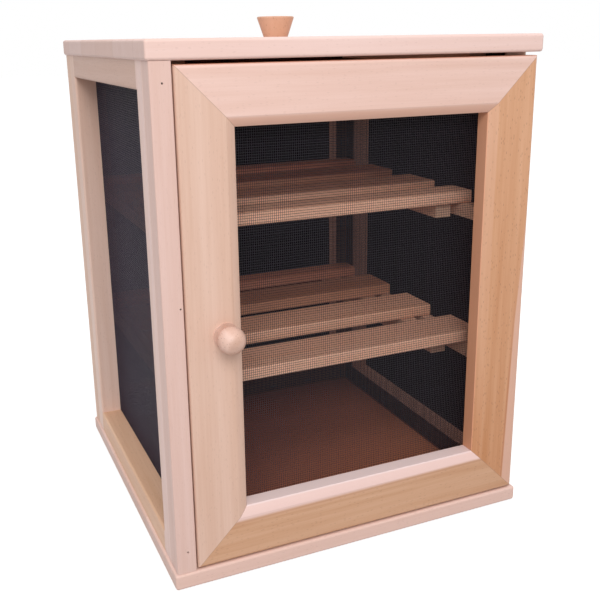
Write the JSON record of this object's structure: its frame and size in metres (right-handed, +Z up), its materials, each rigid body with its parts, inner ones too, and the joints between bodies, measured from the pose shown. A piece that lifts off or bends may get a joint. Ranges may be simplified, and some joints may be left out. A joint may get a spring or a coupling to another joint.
{
  "type": "mesh food cupboard",
  "caption": "Solid beech countertop food safe with wire mesh sides and back, a side-hinged mesh door, lift-out slatted shelves and a lift-off lid.",
  "frame": {"origin": "under the middle of the body, on the underside of the base board, where the cupboard stands", "axes": "+Z up; +X to the right seen from the front, along the door's width; +Y from the door to the back, so the door faces -Y"},
  "size_m": [0.3906, 0.4115, 0.522],
  "materials": {
    "frame_beech": "steamed beech, planed and lightly waxed",
    "door_beech": "steamed beech, planed and lightly waxed",
    "board_beech": "steamed beech, planed and lightly waxed",
    "shelf_beech": "unfinished planed beech",
    "turned_beech": "turned beech, waxed",
    "wire_mesh": "plain woven wire cloth, dull grey",
    "hinge_steel": "zinc plated, satin",
    "fastener_steel": "zinc plated",
    "catch_plastic": "moulded, satin brown",
    "magnet": "sintered ferrite, dark grey"
  },
  "bodies": {
    "root": {"back_bottom_rail": "frame_beech", "back_left_stile": "frame_beech", "back_mesh": "wire_mesh", "back_right_stile": "frame_beech", "back_top_rail": "frame_beech", "base_board": "board_beech", "catch_body": "catch_plastic", "catch_magnet": "magnet", "catch_screws": "fastener_steel", "closing_strip": "frame_beech", "frame_hinge_screws": "fastener_steel", "frame_mesh_staples": "fastener_steel", "hinge_pins": "hinge_steel", "left_bottom_rail": "frame_beech", "left_front_stile": "frame_beech", "left_rear_stile": "frame_beech", "left_side_mesh": "wire_mesh", "left_top_rail": "frame_beech", "lower_hinge_frame_leaf": "hinge_steel", "lower_left_cleat": "shelf_beech", "lower_right_cleat": "shelf_beech", "right_bottom_rail": "frame_beech", "right_front_stile": "frame_beech", "right_rear_stile": "frame_beech", "right_side_mesh": "wire_mesh", "right_top_rail": "frame_beech", "strip_nails": "fastener_steel", "upper_hinge_frame_leaf": "hinge_steel", "upper_left_cleat": "shelf_beech", "upper_right_cleat": "shelf_beech"},
    "door": {"catch_plate": "hinge_steel", "catch_plate_screws": "fastener_steel", "door_bottom_rail": "door_beech", "door_hinge_screws": "fastener_steel", "door_knob": "turned_beech", "door_knob_screw": "fastener_steel", "door_left_stile": "door_beech", "door_mesh": "wire_mesh", "door_mesh_staples": "fastener_steel", "door_right_stile": "door_beech", "door_top_rail": "door_beech", "lower_hinge_door_leaf": "hinge_steel", "upper_hinge_door_leaf": "hinge_steel"},
    "lid": {"lid_board": "board_beech", "lid_knob": "turned_beech", "lid_knob_screw": "fastener_steel", "lid_left_batten": "shelf_beech", "lid_right_batten": "shelf_beech"},
    "upper_shelf": {"upper_shelf_left_batten": "shelf_beech", "upper_shelf_right_batten": "shelf_beech", "upper_shelf_slat_1": "shelf_beech", "upper_shelf_slat_2": "shelf_beech", "upper_shelf_slat_3": "shelf_beech", "upper_shelf_slat_4": "shelf_beech"},
    "lower_shelf": {"lower_shelf_left_batten": "shelf_beech", "lower_shelf_right_batten": "shelf_beech", "lower_shelf_slat_1": "shelf_beech", "lower_shelf_slat_2": "shelf_beech", "lower_shelf_slat_3": "shelf_beech", "lower_shelf_slat_4": "shelf_beech"}
  },
  "joints": [
    {"name": "door_hinge", "type": "hinge", "parent": "root", "child": "door", "pos_m": [0.19275, -0.1721, 0.25], "axis": [0, 0, 1], "range_deg": [0, 170]},
    {"name": "lid_lift", "type": "slide", "parent": "root", "child": "lid", "axis": [0, 0, 1], "range_m": [0, 0.12]},
    {"name": "upper_shelf_slide", "type": "slide", "parent": "root", "child": "upper_shelf", "axis": [0, -1, 0], "range_m": [0, 0.036]},
    {"name": "lower_shelf_slide", "type": "slide", "parent": "root", "child": "lower_shelf", "axis": [0, -1, 0], "range_m": [0, 0.013]}
  ]
}
